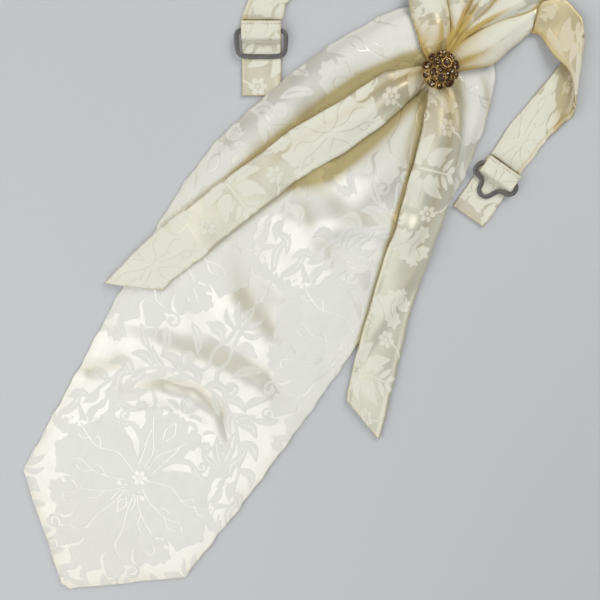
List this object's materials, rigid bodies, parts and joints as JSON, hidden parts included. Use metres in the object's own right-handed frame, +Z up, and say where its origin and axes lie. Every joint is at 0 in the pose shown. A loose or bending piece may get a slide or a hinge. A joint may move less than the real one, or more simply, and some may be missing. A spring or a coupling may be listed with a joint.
{
  "type": "ascot tie",
  "caption": "Pre-tied ivory damask ascot tie lying flat: pointed apron, crossed narrow tails and gathered folds under a round stone brooch, with a hook-and-eye neckband.",
  "frame": {"origin": "middle of the footprint, on the surface it lies on", "axes": "+Y from the apron's point to the neckband, +X to the wearer's left as seen from above, +Z up out of the surface"},
  "size_m": [0.2126, 0.4634, 0.022],
  "materials": {
    "satin_damask": "ivory satin with matte woven damask",
    "antique_gold": "polished antique gold plate",
    "topaz_glass": "faceted dark topaz glass",
    "gunmetal_wire": "dark enamelled flat wire"
  },
  "bodies": {
    "root": {"apron": "satin_damask", "left_tail": "satin_damask", "right_tail": "satin_damask", "upper_flap": "satin_damask", "cross_band": "satin_damask", "gather_left": "satin_damask", "gather_middle": "satin_damask", "gather_right": "satin_damask", "right_strap": "satin_damask", "left_strap": "satin_damask", "right_tongue": "satin_damask", "right_loop": "satin_damask", "left_tongue": "satin_damask", "left_loop": "satin_damask", "knot": "satin_damask", "brooch_setting": "antique_gold", "brooch_post": "antique_gold", "stone_centre_1": "topaz_glass", "stone_inner_1": "topaz_glass", "stone_inner_2": "topaz_glass", "stone_inner_3": "topaz_glass", "stone_inner_4": "topaz_glass", "stone_inner_5": "topaz_glass", "stone_outer_large_1": "topaz_glass", "stone_outer_large_2": "topaz_glass", "stone_outer_large_3": "topaz_glass", "stone_outer_large_4": "topaz_glass", "stone_outer_large_5": "topaz_glass", "stone_outer_small_1": "topaz_glass", "stone_outer_small_2": "topaz_glass", "stone_outer_small_3": "topaz_glass", "stone_outer_small_4": "topaz_glass", "stone_outer_small_5": "topaz_glass", "hook": "gunmetal_wire", "eye": "gunmetal_wire"}
  },
  "joints": []
}
